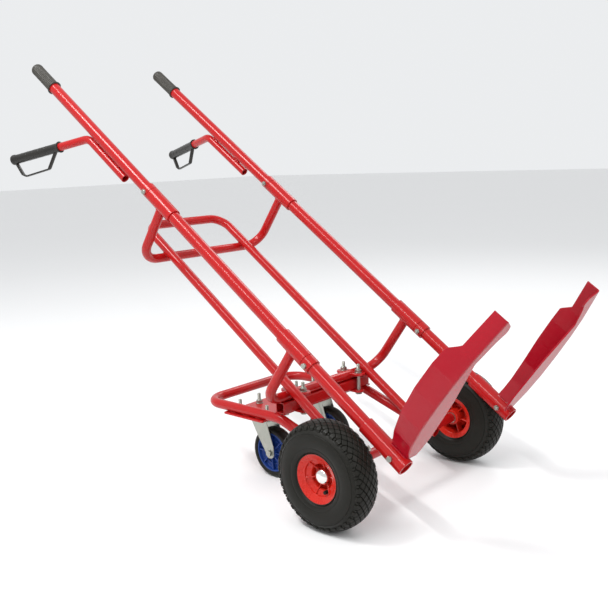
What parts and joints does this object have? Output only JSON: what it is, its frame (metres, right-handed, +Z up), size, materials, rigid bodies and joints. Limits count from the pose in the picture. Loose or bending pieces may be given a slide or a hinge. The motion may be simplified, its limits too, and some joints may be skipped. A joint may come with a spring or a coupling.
{
  "type": "convertible hand truck",
  "caption": "Reclined tubular hand truck with swinging toe blades, D-handles, pneumatic wheels and swivel castors, for carrying tyres or other round loads",
  "frame": {"origin": "on the floor, midway along the object's length and width", "axes": "+X forwards towards the toe blades, +Y to the left seen from the grips, +Z up"},
  "size_m": [1.695, 0.6776, 1.202],
  "materials": {
    "powder_red": "glossy powder coat",
    "zinc": "zinc plated",
    "chrome_cap": "polished",
    "grip_plastic": "moulded, ribbed",
    "tyre_rubber": "block tread",
    "tube_rubber": "smooth",
    "rim_plastic": "moulded",
    "castor_plastic": "moulded",
    "castor_rubber": "solid"
  },
  "bodies": {
    "frame": {"chassis_loop": "powder_red", "upper_bow": "powder_red", "lower_bow": "powder_red", "upper_sleeves": "powder_red", "lower_sleeves": "powder_red", "axle_tube": "powder_red", "axle_shaft": "zinc", "axle_lock_bolts": "zinc", "wheel_washers": "zinc", "hub_cap_left": "chrome_cap", "hub_cap_right": "chrome_cap", "castor_frame": "powder_red", "crossmember": "powder_red", "castor_plate": "powder_red", "clamp_ears": "powder_red", "clamp_backings": "powder_red", "clamp_bolts": "zinc", "clamp_nuts": "zinc", "castor_bolts": "zinc", "castor_washers": "zinc", "castor_nuts": "zinc", "castor_head_left": "zinc", "castor_head_right": "zinc", "castor_kingpins": "zinc"},
    "rail_left_body": {"rail_left": "powder_red", "handle_bracket_left": "powder_red", "grip_left": "grip_plastic", "d_handle_left": "grip_plastic", "collars_left": "powder_red", "toe_sleeve_left": "powder_red", "toe_blade_left": "powder_red", "rail_bolts_left": "zinc"},
    "wheel_left": {"tyre_left": "tyre_rubber", "inner_tube_left": "tube_rubber", "rim_left": "rim_plastic", "wheel_bearings_left": "zinc", "valve_left": "tube_rubber"},
    "castor_swivel_left": {"castor_fork_left": "zinc", "castor_axle_left": "zinc"},
    "castor_wheel_left": {"castor_hub_left": "castor_plastic", "castor_tyre_left": "castor_rubber"},
    "rail_right_body": {"rail_right": "powder_red", "handle_bracket_right": "powder_red", "grip_right": "grip_plastic", "d_handle_right": "grip_plastic", "collars_right": "powder_red", "toe_sleeve_right": "powder_red", "toe_blade_right": "powder_red", "rail_bolts_right": "zinc"},
    "wheel_right": {"tyre_right": "tyre_rubber", "inner_tube_right": "tube_rubber", "rim_right": "rim_plastic", "wheel_bearings_right": "zinc", "valve_right": "tube_rubber"},
    "castor_swivel_right": {"castor_fork_right": "zinc", "castor_axle_right": "zinc"},
    "castor_wheel_right": {"castor_hub_right": "castor_plastic", "castor_tyre_right": "castor_rubber"}
  },
  "joints": [
    {"name": "rail_turn_left", "type": "hinge", "parent": "frame", "child": "rail_left_body", "pos_m": [0.03064, 0.24, 0.58747], "axis": [-0.8111, 0, 0.585], "range_deg": [0, 60]},
    {"name": "wheel_spin_left", "type": "hinge", "parent": "frame", "child": "wheel_left", "pos_m": [0.40439, 0.291, 0.134], "axis": [0, 1, 0], "continuous": true},
    {"name": "castor_swivel_left", "type": "hinge", "parent": "frame", "child": "castor_swivel_left", "pos_m": [0.02339, 0.117, 0.165], "axis": [0, 0, 1], "continuous": true},
    {"name": "castor_roll_left", "type": "hinge", "parent": "castor_swivel_left", "child": "castor_wheel_left", "pos_m": [0.06439, 0.117, 0.07], "axis": [0, 1, 0], "continuous": true},
    {"name": "rail_turn_right", "type": "hinge", "parent": "frame", "child": "rail_right_body", "pos_m": [0.03064, -0.24, 0.58747], "axis": [0.8111, 0, -0.585], "range_deg": [0, 60]},
    {"name": "wheel_spin_right", "type": "hinge", "parent": "frame", "child": "wheel_right", "pos_m": [0.40439, -0.291, 0.134], "axis": [0, 1, 0], "continuous": true},
    {"name": "castor_swivel_right", "type": "hinge", "parent": "frame", "child": "castor_swivel_right", "pos_m": [0.02339, -0.117, 0.165], "axis": [0, 0, 1], "continuous": true},
    {"name": "castor_roll_right", "type": "hinge", "parent": "castor_swivel_right", "child": "castor_wheel_right", "pos_m": [0.06439, -0.117, 0.07], "axis": [0, 1, 0], "continuous": true}
  ]
}
